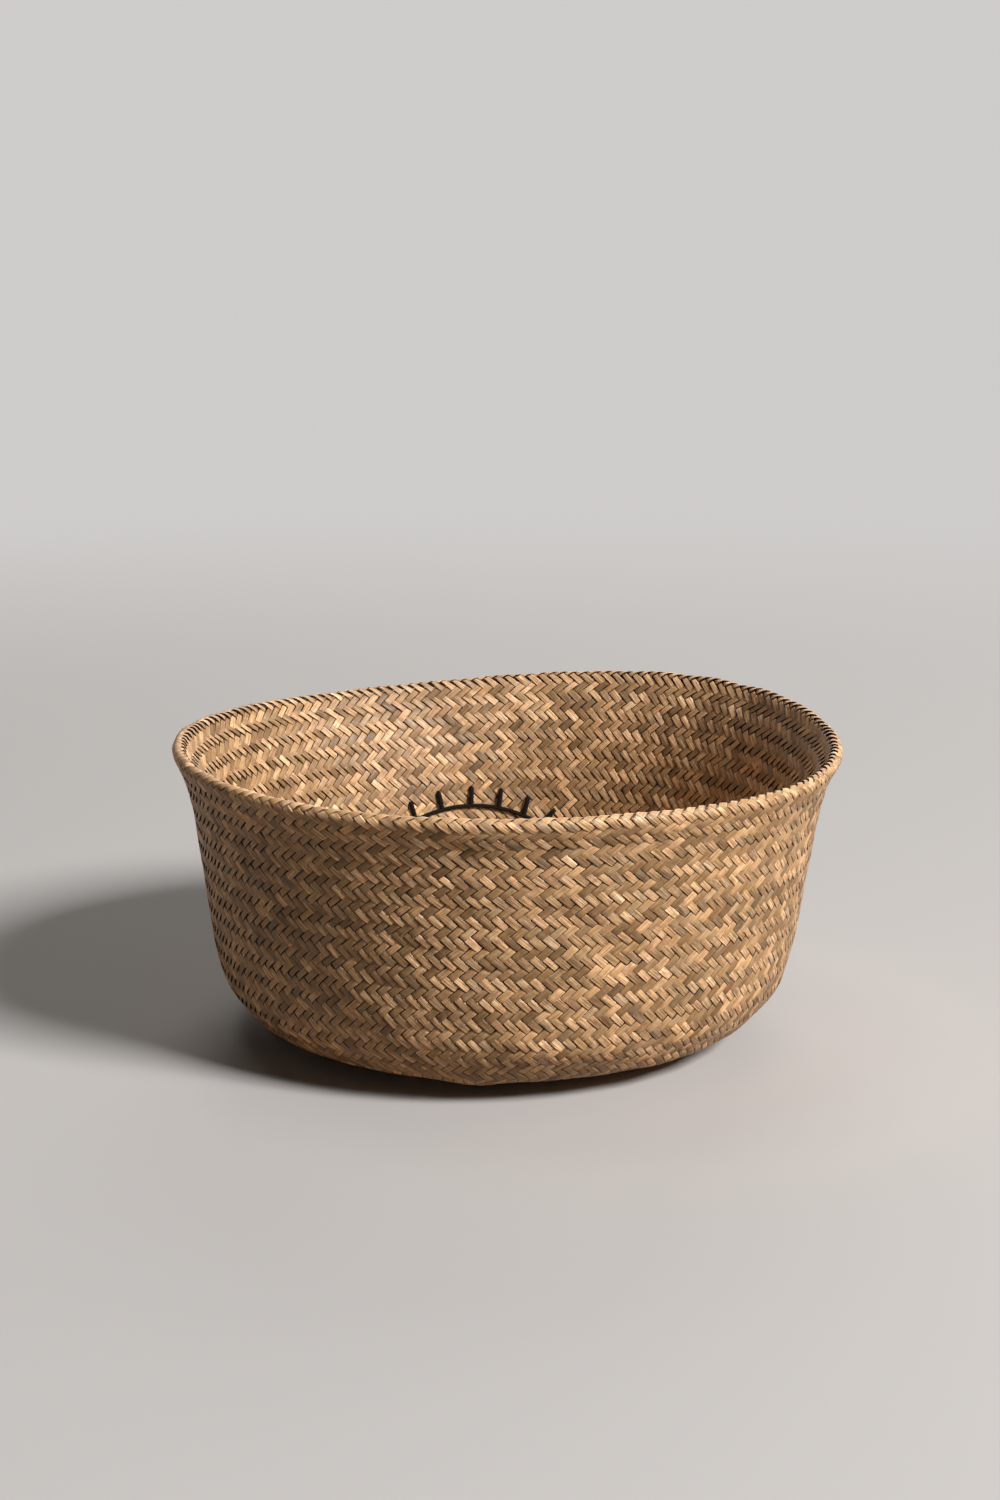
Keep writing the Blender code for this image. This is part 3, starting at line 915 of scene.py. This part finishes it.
def cut_level(wanted, sign):
    """The nearest ring to a level where strips of that direction lie hidden behind the others."""
    hidden = BAND_SHIFT + (2 if sign > 0 else 0) + 2 / STEPS
    return hidden + BAND * round((wanted - hidden) / BAND)


def make_basket():
    smooth = straw_material("smooth_straw", 0)
    fibrous = straw_material("fibrous_straw", 1)
    marks = (
        4.0,
        level_of(MARKS["rim_start"]) / 3 + 3,
        level_of(MARKS["rim_start"]) * 2 / 3 + 2,
        level_of(MARKS["rim_start"]) - 1.0,
        level_of(MARKS["rim_end"]) + 1.5,
        (level_of(MARKS["rim_end"]) + level_of(collar_distance(HEM_HEIGHT + HEM_DEPTH))) / 2,
    )
    last_level = level_of(collar_distance(HEM_HEIGHT + 0.7 * HEM_DEPTH))
    stretches = (
        ("wall_lower", "basket", "plait_outer", ("shoulder", "outer_wall")),
        ("wall_middle", "basket", "plait_outer", ("outer_wall",)),
        ("wall_upper", "basket", "plait_outer", ("outer_wall",)),
        ("rim", "basket", "plait_rim", ("rim_fold",)),
        ("collar_upper", "collar", "plait_inner", ("inner_wall",)),
        ("collar_lower", "collar", "plait_inner", ("inner_wall",)),
    )
    cuts = {sign: [cut_level(mark, sign) for mark in marks] for sign in (1, -1)}
    for family in ("a", "b"):
        name = f"mat_strips_{family}"
        mesh = strip_mesh(name, MAT, mat_strips(family, cuts[1][0], cuts[-1][0]), STRIP_PITCH / STEPS)
        add_piece(name, mesh, smooth, "basket", "plait_outer", "woven_base")
    for sign, lean in ((1, "rising"), (-1, "falling")):
        ends = cuts[sign] + [cuts[sign][-1] + round((last_level - cuts[sign][-1]) * STEPS) / STEPS]
        kind, material = (RISING, smooth) if sign > 0 else (FALLING, fibrous)
        for (stretch, body, slot, replaced), first, last in zip(stretches, ends, ends[1:]):
            name = f"{stretch}_{lean}"
            mesh = strip_mesh(name, kind, wall_strips(sign, first, last), STRIP_PITCH / STEPS)
            add_piece(name, mesh, material, body, slot, *replaced)
    hem = strip_mesh("hem_strips", RISING, hem_strips(), 0.0016)
    add_piece("hem_strips", hem, smooth, "mouth", "plait_hem", "mouth_hem")
    # The core's dark colour is painted shade for the gaps between the turned strips.
    core_material = bpy.data.materials.new("hem_core")
    core_material.use_nodes = True
    core_tree = core_material.node_tree
    core_noise = node(core_tree, "ShaderNodeTexNoise", (("Scale", 400.0), ("Detail", 3.0)))
    core_shade_colour = ramp(core_tree, core_noise.outputs["Fac"], ((0.3, (0.09, 0.05, 0.02)), (0.7, (0.20, 0.12, 0.05))))
    core_tree.links.new(core_shade_colour, core_tree.nodes["Principled BSDF"].inputs["Base Color"])
    core_tree.nodes["Principled BSDF"].inputs["Roughness"].default_value = 0.8
    add_piece("hem_core", hem_core_mesh(), core_material, "mouth", "plait_hem", "mouth_hem")


def make_eye():
    yarn = yarn_material()
    steps = 60
    turns, heights, sink = [], [], []
    for step in range(steps + 1):
        turn, height = lid_place(-LID_START_TURN + (LID_START_TURN + LID_END_TURN) * step / steps)
        turns.append(turn)
        heights.append(height)
        end = min(step, steps - step) / steps
        sink.append(LID_YARN * max(1 - end / 0.03, 0.0) ** 2)
    mesh = yarn_mesh("lid_yarn", heights, turns, LID_YARN, np.array(sink))
    add_piece("lid_yarn", mesh, yarn, "collar", "black_yarn", "lid_stitch")
    for number, (turn, lean) in enumerate(zip(LASH_TURNS, LASH_LEANS), start=1):
        height = lid_place(EYE_TURN - turn)[1]
        first = LID_YARN * 0.2
        turns, heights, sink = [], [], []
        for step in range(25):
            reach = first + LASH_LENGTH * step / 24
            turns.append(turn - reach * math.sin(lean) / HEM_RADIUS)
            heights.append(height + reach * math.cos(lean))
            sink.append(LASH_YARN * 0.5 * max(1 - min(step, 24 - step) / 1.5, 0.0))
        mesh = yarn_mesh(f"lash_yarn_{number}", heights, turns, LASH_YARN, np.array(sink))
        add_piece(f"lash_yarn_{number}", mesh, yarn, "collar", "black_yarn", f"lash_{number}")


# Floor, light and camera

def seen_directly(tree):
    """1 on rays that show the background itself, straight, mirrored or through glass."""
    path = node(tree, "ShaderNodeLightPath").outputs
    straight = maths(tree, "MAXIMUM", path["Is Camera Ray"], path["Is Glossy Ray"])
    return maths(tree, "MAXIMUM", straight, path["Is Transmission Ray"])


def make_stage():
    mesh = bpy.data.meshes.new("floor")
    size = 12.0
    mesh.from_pydata([(-size, -size, 0), (size, -size, 0), (size, size, 0), (-size, size, 0)], [], [(0, 1, 2, 3)])
    floor = bpy.data.objects.new("floor", mesh)
    floor.location.z = -0.0002
    bpy.context.scene.collection.objects.link(floor)
    material = bpy.data.materials.new("floor")
    material.use_nodes = True
    tree = material.node_tree
    shader = tree.nodes["Principled BSDF"]
    shader.inputs["Roughness"].default_value = 0.9
    shader.inputs["Specular IOR Level"].default_value = 0.1
    place = node(tree, "ShaderNodeNewGeometry").outputs["Position"]
    reach = node(tree, "ShaderNodeVectorMath", ((0, place),), operation="LENGTH").outputs["Value"]
    far = ranged(tree, reach, 0.6, 2.6, 0.0, 1.0, smooth=True)
    camera_ray = seen_directly(tree)
    tint = mixed(tree, "MIX", camera_ray, (0.264, 0.208, 0.162), (0.56, 0.54, 0.525))
    tree.links.new(tint, shader.inputs["Base Color"])
    glow = node(tree, "ShaderNodeEmission", (("Color", (0.62, 0.605, 0.59, 1.0)), ("Strength", 1.0)))
    blend = node(tree, "ShaderNodeMixShader", ((0, maths(tree, "MULTIPLY", far, camera_ray)),))
    tree.links.new(shader.outputs[0], blend.inputs[1])
    tree.links.new(glow.outputs[0], blend.inputs[2])
    tree.links.new(blend.outputs[0], tree.nodes["Material Output"].inputs["Surface"])
    mesh.materials.append(material)
    world = bpy.data.worlds.new("studio")
    bpy.context.scene.world = world
    world.use_nodes = True
    tree = world.node_tree
    ray = seen_directly(tree)
    light = tree.nodes["Background"]
    light.inputs["Color"].default_value = (1.0, 0.98, 0.95, 1.0)
    light.inputs["Strength"].default_value = 0.016
    seen = node(tree, "ShaderNodeBackground", (("Color", (0.62, 0.605, 0.59, 1.0)), ("Strength", 1.0)))
    blend = node(tree, "ShaderNodeMixShader", ((0, ray),))
    tree.links.new(light.outputs[0], blend.inputs[1])
    tree.links.new(seen.outputs[0], blend.inputs[2])
    tree.links.new(blend.outputs[0], tree.nodes["World Output"].inputs["Surface"])


def add_lamp(name, place, target, size, power, colour):
    data = bpy.data.lights.new(name, "AREA")
    data.size = size
    data.energy = power
    data.color = colour
    lamp = bpy.data.objects.new(name, data)
    lamp.location = place
    aim = np.array(target) - np.array(place)
    lamp.rotation_mode = "QUATERNION"
    lamp.rotation_quaternion = Vector(aim).to_track_quat("-Z", "Y")
    bpy.context.scene.collection.objects.link(lamp)


def make_lights():
    add_lamp("key", (3.65, -2.85, 3.7), (0, 0, 0.10), 1.5, 462.0, (1.0, 0.988, 0.985))
    add_lamp("fill", (-2.4, -4.4, 2.4), (0, 0, 0.10), 3.6, 2.0, (1.0, 0.98, 0.96))
    add_lamp("top", (-0.9, 1.0, 4.6), (0, 0, 0.05), 1.8, 22.0, (1.0, 0.96, 0.90))
    add_lamp("back", (0.4, 4.4, 2.0), (0, 0, 0.10), 3.0, 70.0, (1.0, 0.98, 0.95))


def make_camera():
    data = bpy.data.cameras.new("camera")
    data.sensor_width = 36.0
    data.lens = 60.0
    camera = bpy.data.objects.new("camera", data)
    camera.location = (-0.0048, -1.476, 0.4988)
    camera.rotation_euler = (math.radians(90.0 - 12.59), 0.0, 0.0)
    bpy.context.scene.collection.objects.link(camera)
    bpy.context.scene.camera = camera


make_basket()
make_eye()
make_stage()
make_lights()
make_camera()
bpy.context.scene.view_settings.view_transform = "Standard"
